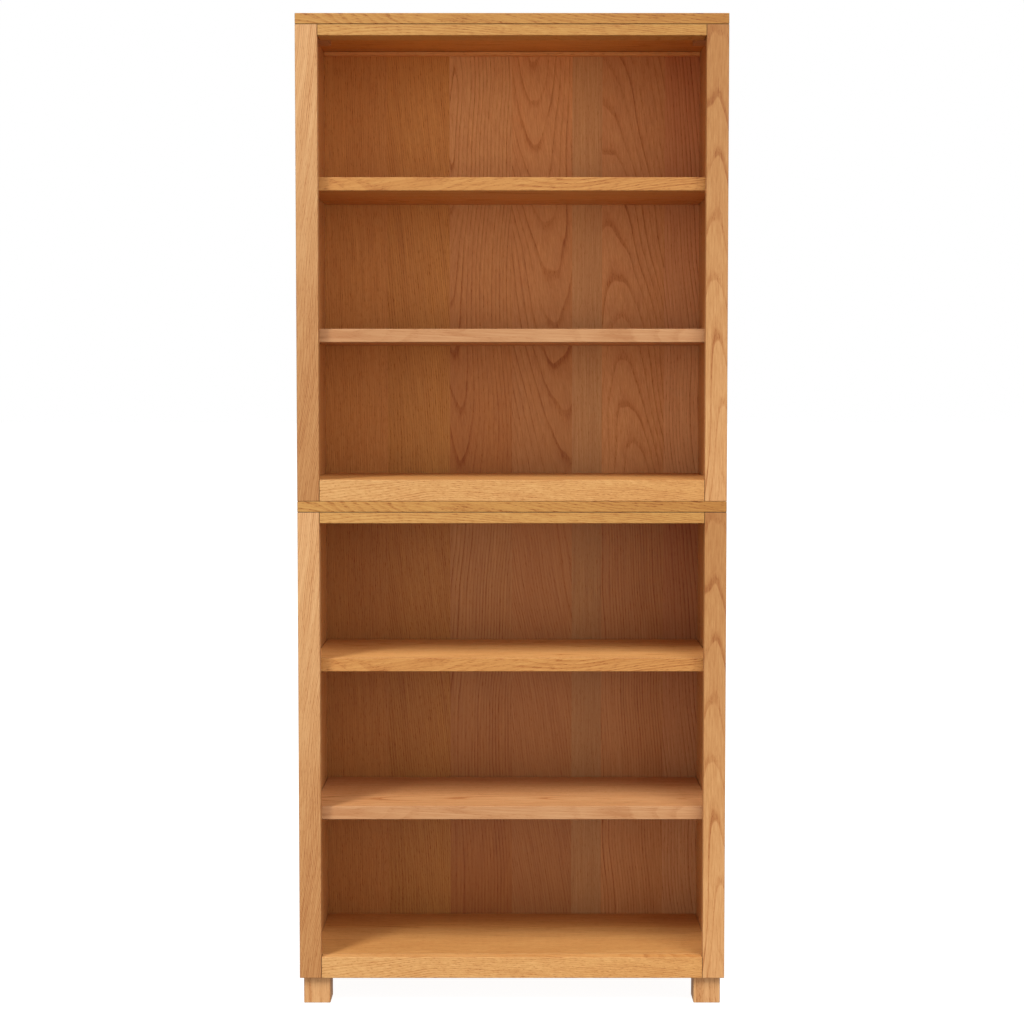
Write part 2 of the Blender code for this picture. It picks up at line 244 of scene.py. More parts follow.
# ---------------------------------------------------------------- the wood's shader
class Graph:
    """A node material that is written as sums instead of as nodes and links."""

    def __init__(self, name):
        self.material = bpy.data.materials.new(name)
        self.material.use_nodes = True
        self.tree = self.material.node_tree
        self.shader = self.tree.nodes["Principled BSDF"]

    def node(self, kind, inputs=(), **settings):
        made = self.tree.nodes.new(kind)
        for key, value in settings.items():
            setattr(made, key, value)
        for key, value in dict(inputs).items():
            self.feed(made.inputs[key], value)
        return made

    def feed(self, socket, value):
        if isinstance(value, bpy.types.NodeSocket):
            self.tree.links.new(value, socket)
        else:
            socket.default_value = value

    def math(self, operation, *values, clamp=False):
        made = self.node("ShaderNodeMath", enumerate(values), operation=operation, use_clamp=clamp)
        return made.outputs[0]

    def stretch(self, vector, scale):
        made = self.node("ShaderNodeVectorMath", {0: vector, 1: scale}, operation="MULTIPLY")
        return made.outputs[0]

    def noise(self, vector, scale, detail=1.0, roughness=0.5):
        """Noise from 0 to 1, with scale in cells per metre along each axis of the log."""
        place = self.stretch(vector, scale)
        inputs = {"Vector": place, "Scale": 1.0, "Detail": detail, "Roughness": roughness}
        return self.node("ShaderNodeTexNoise", inputs).outputs["Fac"]

    def swing(self, vector, scale, detail=1.0, roughness=0.5):
        """Noise about 0."""
        return self.math("SUBTRACT", self.noise(vector, scale, detail, roughness), 0.5)

    def added(self, value, factor, base):
        return self.math("MULTIPLY_ADD", value, factor, base)

    def colour(self, *channels):
        return self.node("ShaderNodeCombineColor", enumerate(channels)).outputs[0]

    def ramp(self, value, stops):
        made = self.node("ShaderNodeValToRGB", {0: value})
        elements = made.color_ramp.elements
        while len(elements) < len(stops):
            elements.new(0.5)
        for element, (place, level) in zip(elements, stops):
            element.position = place
            element.color = (level, level, level, 1.0)
        return made.outputs[0]

    def span(self, value, low, high, to_low=0.0, to_high=1.0):
        inputs = {0: value, 1: low, 2: high, 3: to_low, 4: to_high}
        return self.node("ShaderNodeMapRange", inputs).outputs[0]

    def attribute(self, name):
        return self.node("ShaderNodeAttribute", attribute_name=name)

    def finish(self, colour, roughness, height, bump):
        self.feed(self.shader.inputs["Base Color"], colour)
        self.feed(self.shader.inputs["Roughness"], roughness)
        inputs = {"Strength": bump[0], "Distance": bump[1], "Height": height}
        made = self.node("ShaderNodeBump", inputs)
        self.feed(self.shader.inputs["Normal"], made.outputs[0])
        return self.material


def oak(name, gloss, gamma=SHADE_GAMMA):
    """Oiled wood. Gamma gives the powers of the shade in red, green and blue."""
    g = Graph(name)
    log = g.attribute("log").outputs["Vector"]
    tint = g.attribute("tint")
    habit = g.node("ShaderNodeSeparateXYZ", {0: g.attribute("habit").outputs["Vector"]})
    pitch, pore_share, figure = habit.outputs

    # growth rings: distance from the pith, bent by slow noise along the trunk
    place = g.node("ShaderNodeSeparateXYZ", {0: log})
    across = g.added(g.swing(log, (0.6, 0.6, 2.4)), SLOW_WANDER, place.outputs[0])
    through = place.outputs[1]
    squares = [g.math("MULTIPLY", value, value) for value in (across, through)]
    radius = g.math("SQRT", g.math("ADD", *squares))
    bend = g.added(g.noise(log, (11, 11, 2.1), 2.0), RING_BEND, radius)
    bend = g.added(g.noise(log, (60, 60, 9)), RING_RIPPLE, bend)
    ring = g.math("DIVIDE", bend, pitch)
    stretched = g.math("DIVIDE", pitch, EARLY_WIDTH)
    part = g.math("MULTIPLY", g.math("FRACT", ring), stretched, clamp=True)
    early = g.ramp(part, EARLY_WOOD)
    count = g.math("FLOOR", ring)
    year = g.node("ShaderNodeTexWhiteNoise", {"W": count}, noise_dimensions="1D").outputs["Value"]
    fade = g.span(g.noise(log, (26, 26, 3.4)), 0.28, 0.58, 0.25, 1.0)
    strength = g.math("MULTIPLY", g.span(year, 0.0, 1.0, 0.35, 1.20), fade)
    rings = g.math("MULTIPLY", g.math("MULTIPLY", early, strength), figure)

    # pores: short dark dashes, most of them in the early wood, and fibres between them
    dash = g.span(g.noise(log, (680, 680, 80), 2.0, 0.7), 0.53, 0.66)
    pores = g.math("MULTIPLY", g.math("MULTIPLY", dash, pore_share), g.added(early, 0.75, 0.35))
    fibre = g.noise(log, (430, 430, 10), 2.0, 0.62)
    streak = g.swing(log, (95, 95, 2.6), 2.0, 0.55)
    cloud = g.swing(log, (9, 9, 2.2))

    shade = g.added(g.math("SUBTRACT", fibre, 0.5), 0.55, 1.075)
    for value, factor in ((streak, 0.16), (cloud, 0.12), (rings, -0.33), (pores, -0.30)):
        shade = g.added(value, factor, shade)
    shade = g.math("MAXIMUM", shade, 0.2)
    parts = g.node("ShaderNodeSeparateColor", {0: tint.outputs["Color"]}).outputs
    shades = [g.math("POWER", shade, power) for power in gamma]
    colour = g.colour(*[g.math("MULTIPLY", *pair) for pair in zip(parts, shades)])

    rough = gloss
    for value, factor in ((pores, 0.22), (streak, 0.16), (rings, 0.08)):
        rough = g.added(value, factor, rough)
    height = g.added(rings, -0.35, g.math("MULTIPLY", pores, -0.9))
    height = g.added(fibre, 0.30, height)
    g.shader.inputs["Specular IOR Level"].default_value = 0.38
    return g.finish(colour, rough, height, WOOD_BUMP)


def steel(name, colour, gloss):
    """Drawn or turned steel: fine lines along the piece, and a few dull spots."""
    g = Graph(name)
    where = g.node("ShaderNodeTexCoord").outputs["Object"]
    line = g.noise(where, (2400, 2400, 160), 2.0, 0.6)
    spot = g.noise(where, (420, 420, 420), 2.0, 0.6)
    level = g.added(line, 0.22, 0.80)
    level = g.added(g.math("SUBTRACT", spot, 0.5), 0.20, level)
    tone = g.colour(*[g.math("MULTIPLY", level, value) for value in colour])
    rough = g.added(spot, 0.22, gloss)
    g.shader.inputs["Metallic"].default_value = 1.0
    return g.finish(tone, rough, line, STEEL_BUMP)


# ---------------------------------------------------------------- mesh helpers
def linked(name, shape):
    mesh = bpy.data.meshes.new(name)
    shape.to_mesh(mesh)
    shape.free()
    thing = bpy.data.objects.new(name, mesh)
    bpy.context.scene.collection.objects.link(thing)
    return thing


def prism(shape, outline, low, high):
    """A closed solid of that outline (x, y), between two heights."""
    base = [shape.verts.new((x, y, low)) for x, y in outline]
    top = [shape.verts.new((x, y, high)) for x, y in outline]
    shape.faces.new(base[::-1])
    shape.faces.new(top)
    for i in range(len(outline)):
        j = (i + 1) % len(outline)
        shape.faces.new((base[i], base[j], top[j], top[i]))


def counterclockwise(outline):
    """The outline, turned round if it runs clockwise."""
    following = outline[1:] + outline[:1]
    area = sum(a[0] * b[1] - b[0] * a[1] for a, b in zip(outline, following))
    return outline[::-1] if area < 0 else outline


def box(shape, low, high):
    outline = [(low[0], low[1]), (high[0], low[1]), (high[0], high[1]), (low[0], high[1])]
    prism(shape, outline, low[2], high[2])


def eased(shape):
    """Rounds every outer edge of a solid, as sandpaper does."""
    shape.normal_update()
    edges = [edge for edge in shape.edges if edge.is_convex and edge.calc_face_angle() > SHARP_TURN]
    bmesh.ops.bevel(
        shape, geom=edges, offset=ARRIS, offset_type="OFFSET", segments=ARRIS_STEPS,
        profile=0.5, affect="EDGES", clamp_overlap=True,
    )


def lathe(shape, profile, turn, steps=ROUND_SIDES):
    """A round solid from (radius, height) points, top to base, then moved by a matrix. Points
    with a tag belong to the shape's earlier solids."""
    line = [shape.verts.new((radius, 0.0, height)) for radius, height in profile]
    edges = [shape.edges.new(pair) for pair in zip(line, line[1:])]
    bmesh.ops.spin(
        shape, geom=line + edges, cent=(0, 0, 0), axis=(0, 0, 1), angle=math.tau,
        steps=steps, use_merge=True,
    )
    points = [v for v in shape.verts if not v.tag]
    bmesh.ops.remove_doubles(shape, verts=points, dist=WELD)
    points = [v for v in shape.verts if not v.tag]
    bmesh.ops.transform(shape, matrix=turn, verts=points)
    for point in points:
        point.tag = True
    bmesh.ops.recalc_face_normals(shape, faces=shape.faces[:])


def rod(shape, start, end, radius):
    start, end = Vector(start), Vector(end)
    turn = Vector((0, 0, 1)).rotation_difference(end - start).to_matrix().to_4x4()
    length = (end - start).length
    profile = [(0, length), (radius, length), (radius, 0), (0, 0)]
    lathe(shape, profile, Matrix.Translation(start) @ turn)


def carved(thing, shape):
    """Takes a shape out of a piece."""
    cutter = linked("cutter", shape)
    hole = thing.modifiers.new("hole", "BOOLEAN")
    hole.operation = "DIFFERENCE"
    hole.solver = "EXACT"
    hole.object = cutter
    found = thing.evaluated_get(bpy.context.evaluated_depsgraph_get())
    mesh = bpy.data.meshes.new_from_object(found)
    thing.modifiers.clear()
    thing.data, old = mesh, thing.data
    bpy.data.meshes.remove(old)
    bpy.data.objects.remove(cutter)


# ---------------------------------------------------------------- boards
def painted_face_shading(normal, seams, painted_sides):
    """How much darker or paler a face is than its plank: painted shade in the joint lines at seams,
    rounded edges a little darker, and painted light or painted shade on some given flat sides. The sides
    of a board are (axis, sign): seams are the sides joined to another board, and the given flat sides
    carry painted light or painted shade of their own."""
    if max(abs(value) for value in normal) > FLAT:
        found = [tone for (axis, sign), tone in painted_sides.items() if normal[axis] * sign > FLAT]
        return found[0] if found else 1.0
    # painted shade in the joint lines at seams; the other rounded edges are only a little darker
    return SEAM_PAINTED_SHADE if any(normal[axis] * sign > JOINED for axis, sign in seams) else ARRIS_TONE


def sawn(thing, grain, face, planks, seed, seams=(), painted_sides=None):
    """Cuts a board's mesh at its glue lines and writes where each plank lies in its log."""
    corners = [vertex.co for vertex in thing.data.vertices]
    low = Vector([min(c[i] for c in corners) for i in range(3)])
    high = Vector([max(c[i] for c in corners) for i in range(3)])
    across = 3 - grain - face
    total = sum(plank.share for plank in planks)
    edges = [low[across]]
    for plank in planks:
        edges.append(edges[-1] + (high[across] - low[across]) * plank.share / total)
    shape = bmesh.new()
    shape.from_mesh(thing.data)
    normal = Vector([1.0 if i == across else 0.0 for i in range(3)])
    for place in edges[1:-1]:
        geometry = shape.verts[:] + shape.edges[:] + shape.faces[:]
        bmesh.ops.bisect_plane(
            shape, geom=geometry, dist=WELD, plane_co=normal * place, plane_no=normal,
        )
    shape.to_mesh(thing.data)
    shape.free()

    mesh = thing.data
    logs, tints, habits = [], [], []
    middle = (low[grain] + high[grain]) / 2
    length = high[grain] - low[grain]
    centre = (low[face] + high[face]) / 2
    for polygon in mesh.polygons:
        number = sum(1 for place in edges[1:-1] if polygon.center[across] > place)
        plank = planks[number]
        home = (edges[number] + edges[number + 1]) / 2
        # painted shade at seams and painted light or painted shade on given sides, folded into the
        # plank's colour
        face_shading = painted_face_shading(polygon.normal, seams, painted_sides or {})
        for index in polygon.loop_indices:
            co = mesh.vertices[mesh.loops[index].vertex_index].co
            along = co[grain] - middle
            logs += [
                co[across] - home - plank.pith[0] + plank.lean[0] * along,
                co[face] - centre - plank.pith[1] + plank.lean[1] * along,
                along + LOG_STEP * (seed + SEED_STEP * number),
            ]
            share = (co[grain] - low[grain]) / length
            tints += [*shaded(mixed(plank.low, plank.high, share), face_shading), 1.0]
            habits += [plank.pitch / 1000, plank.pores, plank.figure]
    for name, kind, field, values in (
        ("log", "FLOAT_VECTOR", "vector", logs),
        ("tint", "FLOAT_COLOR", "color", tints),
        ("habit", "FLOAT_VECTOR", "vector", habits),
    ):
        mesh.attributes.new(name, kind, "CORNER").data.foreach_set(field, values)


def fitted(thing, node, slot):
    """Puts a finished piece in its node's place."""
    thing.name = f"{node}_made"
    thing.data.materials.clear()
    thing.data.materials.append(FINISHES[slot])
    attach(thing, frame["nodes"][node]["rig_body"])
    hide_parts(node)
    return thing


def board(node, grain, face, planks, seed, slot, cutters=(), outline=None, seams=(), painted_sides=None):
    """A board in the place of a CAD node, with rounded edges, its holes and its own grain. Grain
    and face are the axes that its grain runs along and its broad face looks along."""
    low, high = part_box(node)
    shape = bmesh.new()
    if outline:
        prism(shape, outline, low[2], high[2])
    else:
        box(shape, low, high)
    eased(shape)
    thing = linked(node + "_raw", shape)
    for draw in cutters:
        cutter = bmesh.new()
        draw(cutter)
        carved(thing, cutter)
    sawn(thing, grain, face, planks, seed, seams, painted_sides)
    return fitted(thing, node, slot)


def random_planks(seed, widths, colours, figure, spread):
    """Planks of those widths, each from another part of the log and of its own colour."""
    draw = random.Random(seed)
    planks = []
    for width in widths:
        sideways = draw.choice((-1, 1)) * draw.uniform(0.0, 0.16)
        deep = draw.choice((-1, 1)) * draw.uniform(0.025, 0.09)
        lean = (draw.uniform(-0.02, 0.02), draw.choice((-1, 1)) * draw.uniform(0.012, 0.055))
        colour = mixed(colours[0], colours[1], draw.random())
        low = shaded(colour, 1 + draw.uniform(-spread, spread))
        high = shaded(low, 1 + draw.uniform(-spread, spread) / 2)
        pitch = draw.uniform(3.2, 5.2)
        strong = figure * draw.uniform(0.7, 1.15)
        pores = draw.uniform(0.7, 1.1)
        planks.append(Plank(width, (sideways, deep), lean, low, high, strong, pitch, pores))
    return planks


def straight(colour, far=None, slope=0.0, figure=0.6, pitch=3.4, pores=1.0):
    """A single straight-grained plank, whose rings cross its face as nearly parallel lines."""
    return [Plank(1.0, (-0.16, 0.07), (slope, 0.004), colour, far, figure, pitch, pores)]


# ---------------------------------------------------------------- the holes
def peg_holes(case, side):
    """Rows of blind holes for the shelf pegs, on one side panel's inner face."""
    def draw(shape):
        for number in (1, 2):
            for end in ("front", "back"):
                low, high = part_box(f"{case}_peg_{number}_{side}_{end}")
                inner = min(abs(low[0]), abs(high[0])) + PEG_SHOWN
                sign = math.copysign(1.0, low[0])
                y, z = (low[1] + high[1]) / 2, (low[2] + high[2]) / 2
                for step in range(-HOLES_EACH_WAY, HOLES_EACH_WAY + 1):
                    height = z + step * HOLE_PITCH
                    start = (sign * (inner - HOLE_START), y, height)
                    rod(shape, start, (sign * (inner + PEG_HOLE[1]), y, height), PEG_HOLE[0])
    return draw


def peg_grooves(shelf):
    """A stopped groove over each peg, with the round end that a router leaves."""
    case, _, number = shelf.split("_")

    def draw(shape):
        low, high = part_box(shelf)
        half = GROOVE[1] / 2
        for side in ("left", "right"):
            sign = -1 if side == "left" else 1
            for end in ("front", "back"):
                peg_low, peg_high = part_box(f"{case}_peg_{number}_{side}_{end}")
                y = (peg_low[1] + peg_high[1]) / 2
                reach = high[0] - GROOVE[0] + half
                arc = [math.pi / 2 + math.pi * i / GROOVE_ARC for i in range(GROOVE_ARC + 1)]
                outline = [(reach + half * math.cos(a), y + half * math.sin(a)) for a in arc]
                open_end = high[0] + CUTTER_OUT
                outline = [(open_end, y + half), *outline, (open_end, y - half)]
                outline = counterclockwise([(sign * a, b) for a, b in outline])
                prism(shape, outline, low[2] - CUTTER_OUT, low[2] + GROOVE[2])
    return draw


def around(names):
    """Round holes about upright fasteners of those radii, with room for them."""
    def draw(shape):
        for name, radius in names.items():
            low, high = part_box(name)
            x, y = (low[0] + high[0]) / 2, (low[1] + high[1]) / 2
            rod(shape, (x, y, low[2] - FIT), (x, y, high[2] + FIT), radius + FIT)
    return draw


def screw_heads(shape):
    """The wide part of the joining screws' holes."""
    for side in ("left", "right"):
        low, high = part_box(f"stack_screw_{side}")
        x, y = (low[0] + high[0]) / 2, (low[1] + high[1]) / 2
        top = low[2] + SCREW_HEAD[1] + FIT
        rod(shape, (x, y, low[2] - CUTTER_OUT), (x, y, top), SCREW_HEAD[0] + FIT)


DOWELS = {"stack_dowel_left": DOWEL_RADIUS, "stack_dowel_right": DOWEL_RADIUS}
SCREWS = {"stack_screw_left": SCREW_SHANK, "stack_screw_right": SCREW_SHANK}


def back_screw_places(case):
    """Where the back panel is screwed on: to the sides, the bottom panel and the batten."""
    low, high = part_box(f"{case}_back_panel")
    bottom_low, bottom_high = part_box(f"{case}_bottom_panel")
    batten_low, batten_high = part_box(f"{case}_back_batten")
    edge = high[0] - RABBET / 2
    span = high[2] - low[2] - 2 * BACK_SCREW_INSET
    last = BACK_SCREW_ROWS - 1
    rows = [low[2] + BACK_SCREW_INSET + span * i / last for i in range(BACK_SCREW_ROWS)]
    places = [(side * edge, row) for side in (-1, 1) for row in rows]
    columns = [high[0] * share for share in BACK_SCREW_COLUMNS]
    places += [(column, (bottom_low[2] + bottom_high[2]) / 2) for column in columns]
    places += [(column, (batten_low[2] + batten_high[2]) / 2) for column in columns]
    return places, high[1]


def countersinks(case):
    """The holes of the back panel's screws."""
    head, shank, depth = BACK_SCREW
    room, tip_room = BACK_SCREW_ROOM

    def draw(shape):
        places, rear = back_screw_places(case)
        turn = Matrix.Rotation(-math.pi / 2, 4, "X")
        for x, z in places:
            wide, narrow = head + room, shank + tip_room
            profile = [(0, BACK_SCREW_OUT), (wide, BACK_SCREW_OUT), (narrow, -depth), (0, -depth)]
            lathe(shape, profile, Matrix.Translation((x, rear, z)) @ turn, SCREW_SIDES)
    return draw


def back_screws(case):
    """Countersunk cross-head screws along the back panel's edges, all in one piece."""
    head, shank, depth = BACK_SCREW
    places, rear = back_screw_places(case)
    shape = bmesh.new()
    base = -depth + 0.0002
    profile = [(0, 0), (head - 0.0003, 0), (head - 0.0001, -0.0002), (shank, base), (0, base)]
    lathe(shape, profile, Matrix.Identity(4), SCREW_SIDES)
    template = linked("back_screw", shape)
    cross = bmesh.new()
    arm, half, deep = BACK_SCREW_CROSS
    outline = [
        (arm, -half), (arm, half), (half, half), (half, arm), (-half, arm), (-half, half),
        (-arm, half), (-arm, -half), (-half, -half), (-half, -arm), (half, -arm), (half, -half),
    ]
    prism(cross, outline, -deep, HOLE_START)
    carved(template, cross)
    shape = bmesh.new()
    draw = random.Random(case)
    for x, z in places:
        part = bmesh.new()
        part.from_mesh(template.data)
        turn = Matrix.Rotation(-math.pi / 2, 4, "X") @ Matrix.Rotation(draw.uniform(0, math.pi), 4, "Z")
        part.transform(Matrix.Translation((x, rear - BACK_SCREW_SUNK, z)) @ turn)
        mesh = bpy.data.meshes.new("part")
        part.to_mesh(mesh)
        part.free()
        shape.from_mesh(mesh)
        bpy.data.meshes.remove(mesh)
    bpy.data.objects.remove(template)
    thing = linked(f"{case}_back_screws", shape)
    thing.data.materials.append(YELLOWED)
    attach(thing, FIXED)


# ---------------------------------------------------------------- round pieces
def turned(node, profile, turn):
    """A turned steel piece in the place of a CAD node, smooth but for its sharp edges."""
    shape = bmesh.new()
    lathe(shape, profile, turn)
    thing = linked(node + "_raw", shape)
    thing.data.shade_smooth()
    thing.data.set_sharp_from_angle(angle=math.radians(SMOOTH_UP_TO))
    return fitted(thing, node, "steel")


def peg(node):
    """A shelf peg: a steel pin with rounded ends and a fine stop ring where it leaves its hole."""
    low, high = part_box(node)
    radius = (high[2] - low[2]) / 2
    length = high[0] - low[0]
    sign = math.copysign(1.0, low[0])
    inner = min(abs(low[0]), abs(high[0]))
    slim = radius - 0.0002
    profile = [
        (0, length), (radius * 0.60, length), (radius * 0.86, length - 0.0003),
        (radius, length - 0.0010), (radius, PEG_SHOWN + 0.0004), (slim, PEG_SHOWN + 0.0002),
        (slim, PEG_SHOWN - 0.0002), (radius, PEG_SHOWN - 0.0004), (radius, 0.0009),
        (radius * 0.88, 0.0003), (radius * 0.62, 0), (0, 0),
    ]
    turn = Matrix.Rotation(sign * math.pi / 2, 4, "Y")
    place = Matrix.Translation((sign * inner, (low[1] + high[1]) / 2, (low[2] + high[2]) / 2))
    return turned(node, profile, place @ turn)


def upright_place(node):
    """Where an upright fastener stands, as a matrix, and its length."""
    low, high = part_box(node)
    return Matrix.Translation(((low[0] + high[0]) / 2, (low[1] + high[1]) / 2, low[2])), high[2] - low[2]


def threaded(radius, low, high, turns, depth):
    """Profile points of a screw thread's ridges, from high to low."""
    points = []
    step = (high - low) / turns
    for i in range(turns):
        top = high - i * step
        points += [(radius - depth, top), (radius, top - step * 0.45), (radius - depth, top - step * 0.9)]
    return points


# ---------------------------------------------------------------- the pieces
FINISHES = {slot: oak(slot, gloss) for slot, gloss in WOOD_GLOSS.items()}
FINISHES["beech"] = oak("beech", BEECH_GLOSS, BEECH_GAMMA)
FINISHES["steel"] = steel("bright_steel", *BRIGHT_STEEL)
YELLOWED = steel("yellowed_steel", *YELLOWED_STEEL)


def toned(colours, case):
    """A front board's light and deep colour in that case, painted paler in the lower case as painted
    light.
    """
    return [shaded(colour, FRONT_PAINTED_LIGHT[case]) for colour in colours]


def sawn_from(log, share, low, high):
    """A plank from one of the known logs."""
    pith, lean, figure, pitch, pores = LOGS[log]
    return Plank(share, pith, lean, low, high, figure, pitch, pores)


def top_board(case):
    cuts = [around(DOWELS), around(SCREWS)] if case == "lower" else []
    light, deep = toned(TOP_BOARD, case)
    planks = random_planks(5, TOP_STAVES, (light, deep), 0.9, 0.06)
    planks[0] = sawn_from("top_front", TOP_STAVES[0], light, deep)
    # painted light on the top board's lower face
    board(
        f"{case}_top_board", ACROSS_X, UP, planks, 3, "top_oak", cuts,
        seams=((UP, -1),), painted_sides={(UP, -1): UNDER_TOP_BOARD_PAINTED_LIGHT},
    )


def front_frame(case):
    """The stiles and rails of a case."""
    light, deep = toned(LEFT_STILE, case)
    fine = straight(deep, light, -0.130, 0.95, 2.7, 0.75)
    board(f"{case}_stile_left", UP, ACROSS_Y, fine, 7, "frame_oak", seams=((UP, 1),))
    flames = [sawn_from("stile_right", 1.0, *toned(RIGHT_STILE, case))]
    board(f"{case}_stile_right", UP, ACROSS_Y, flames, 13, "frame_oak", seams=((UP, 1),))
    cuts = [around(SCREWS), screw_heads] if case == "lower" else []
    planks = [sawn_from("top_rail", 1.0, *toned(TOP_RAIL, case))]
    board(
        f"{case}_top_rail", ACROSS_X, ACROSS_Y, planks, 17, "frame_oak", cuts,
        seams=((UP, 1), (ACROSS_X, 1), (ACROSS_X, -1)),
    )
    cuts = [around(SCREWS)] if case == "upper" else []
    planks = [sawn_from("bottom_rail", 1.0, *toned(BOTTOM_RAIL, case))]
    board(
        f"{case}_bottom_rail", ACROSS_X, ACROSS_Y, planks, 19, "frame_oak", cuts,
        seams=((ACROSS_X, 1), (ACROSS_X, -1)),
    )


def side_panel(case, side):
    """A side panel with its rabbet for the back, its peg holes and its dowel hole."""
    sign = -1 if side == "left" else 1
    low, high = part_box(f"{case}_side_{side}")
    outer, inner = (low[0], high[0]) if sign < 0 else (high[0], low[0])
    rabbet_x = inner + sign * RABBET
    rabbet_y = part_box(f"{case}_back_panel")[0][1] - FIT
    outline = counterclockwise([
        (inner, low[1]), (inner, rabbet_y), (rabbet_x, rabbet_y), (rabbet_x, high[1]),
        (outer, high[1]), (outer, low[1]),
    ])
    cuts = [peg_holes(case, side)]
    if case == "upper":
        cuts.append(around({f"stack_dowel_{side}": DOWEL_RADIUS}))
    planks = random_planks(23 + sign, SIDE_STAVES, (ORANGE, GOLDEN), 0.9, 0.07)
    board(f"{case}_side_{side}", UP, ACROSS_X, planks, 29 + sign, "side_oak", cuts, outline)


def back_planks(case):
    """The staves of a back panel, left to right as seen from the front."""
    planks = []
    low_shade, high_shade = BACK_PAINTED_SHADE[case]
    for number, (width, low, high, pores, pith, lean, figure, pitch) in enumerate(BACK_STAVES):
        if case == "lower" and number in STRAIGHT_STAVES:
            pith, lean, figure, pitch = STRAIGHT_STAVES[number]
        # painted shade: the lower case's back staves are painted darker, more so at their high end
        low, high = shaded(low, low_shade), shaded(high, high_shade)
        planks.append(Plank(width, pith, lean, low, high, figure, pitch, pores))
    return planks


def inner_boards(case):
    """The bottom panel, the back, its batten and screws, and the glue blocks."""
    planks = random_planks(31, BOTTOM_STAVES, (ORANGE, GOLDEN), 0.8, 0.04)
    # painted shade on the bottom panel's upper face
    painted_sides = {(UP, 1): BOTTOM_TOP_PAINTED_SHADE}
    board(f"{case}_bottom_panel", ACROSS_X, UP, planks, 37, "shelf_oak", painted_sides=painted_sides)
    cuts = [countersinks(case)]
    board(f"{case}_back_panel", UP, ACROSS_Y, back_planks(case), 41, "back_oak", cuts)
    # painted light on the batten, with the lower case's painted shade of the back panel
    planks = straight(shaded(BATTEN_PAINTED_LIGHT, BACK_PAINTED_SHADE[case][1]), None, 0.02)
    board(f"{case}_back_batten", ACROSS_X, ACROSS_Y, planks, 43, "back_oak")
    back_screws(case)
    planks = straight(BLOCK, None, 0.05)
    for side in ("left", "right"):
        board(f"{case}_top_block_{side}", ACROSS_X, UP, planks, 47, "block_oak")


def shelves(case):
    """The loose shelves, and the pegs that they lie on."""
    for number, colour in SHELVES.items():
        shelf = f"{case}_shelf_{number}"
        # painted light: the lower case's shelves are painted paler
        colour = shaded(colour, FRONT_PAINTED_LIGHT[case])
        colours = colour, shaded(colour, 1.05)
        planks = random_planks(51 + number, SHELF_STAVES, colours, 0.8, 0.04)
        planks[0] = sawn_from(f"shelf_{number}_front", SHELF_STAVES[0], colour, colour)
        if number == 1:
            planks[1] = sawn_from("shelf_1_top", SHELF_STAVES[1], colour, colour)
        # painted light on the shelves' upper faces
        board(
            shelf, ACROSS_X, UP, planks, 53 + number, "shelf_oak", [peg_grooves(shelf)],
            painted_sides={(UP, 1): SHELF_TOPS_PAINTED_LIGHT[number]},
        )
        for side in ("left", "right"):
            for end in ("front", "back"):
                peg(f"{case}_peg_{number}_{side}_{end}")


def foot(end, side):
    """A foot, its bolt and the block inside the case that holds the bolt."""
    place = f"{end}_{side}"
    cuts = [around({f"foot_bolt_{place}": BOLT_RADIUS})]
    pith = (0.012 if side == "left" else -0.02, 0.05 if end == "front" else -0.04)
    planks = [Plank(1.0, pith, (0.03, 0.02), FOOT, shaded(FOOT, 0.97), 0.9, 4.0)]
    seed = 61 + len(place)
    board(f"foot_{place}", UP, ACROSS_Y, planks, seed, "foot_oak", cuts)
    planks = straight(BLOCK, None, 0.03)
    board(f"corner_block_{place}", ACROSS_X, UP, planks, seed + 5, "block_oak", cuts)
    turn, length = upright_place(f"foot_bolt_{place}")
    start, stop, turns, depth = BOLT_THREAD
    end_radius = BOLT_RADIUS - BOLT_BEVEL
    thread = threaded(BOLT_RADIUS, start, length - stop, turns, depth)
    profile = [(0, length), (end_radius, length), *thread, (end_radius, 0), (0, 0)]
    turned(f"foot_bolt_{place}", profile, turn)


def dowel(node):
    """A beech dowel with bevelled ends."""
    turn, length = upright_place(node)
    radius, bevel = DOWEL_RADIUS, DOWEL_BEVEL
    shape = bmesh.new()
    profile = [
        (0, length), (radius - bevel, length), (radius, length - bevel),
        (radius, bevel), (radius - bevel, 0), (0, 0),
    ]
    lathe(shape, profile, turn)
    thing = linked("dowel_raw", shape)
    sawn(thing, UP, ACROSS_Y, straight(BEECH, None, 0.01, 0.3, 2.4, 0.5), 71)
    fitted(thing, node, "beech")


def stack_screw(node):
    """A screw that stands point up, with its flat head in the rail's underside."""
    turn, length = upright_place(node)
    head, height = SCREW_HEAD
    start, stop, turns, depth = SCREW_THREAD
    thread = threaded(SCREW_SHANK, height + start, length - stop, turns, depth)
    profile = [
        (0, length), (SCREW_SHANK * 0.5, length), *thread, (SCREW_SHANK - depth, height),
        (head - 0.0008, height), (head, height - 0.0006), (head, 0.0005), (head - 0.0005, 0),
        (0.0022, 0), (0.0020, 0.0014), (0, 0.0014),
    ]
    turned(node, profile, turn)


for case in FRONT_PAINTED_LIGHT:
    top_board(case)
    front_frame(case)
    side_panel(case, "left")
    side_panel(case, "right")
    inner_boards(case)
    shelves(case)
for end in ("front", "back"):
    foot(end, "left")
    foot(end, "right")
for side in ("left", "right"):
    dowel(f"stack_dowel_{side}")
    stack_screw(f"stack_screw_{side}")


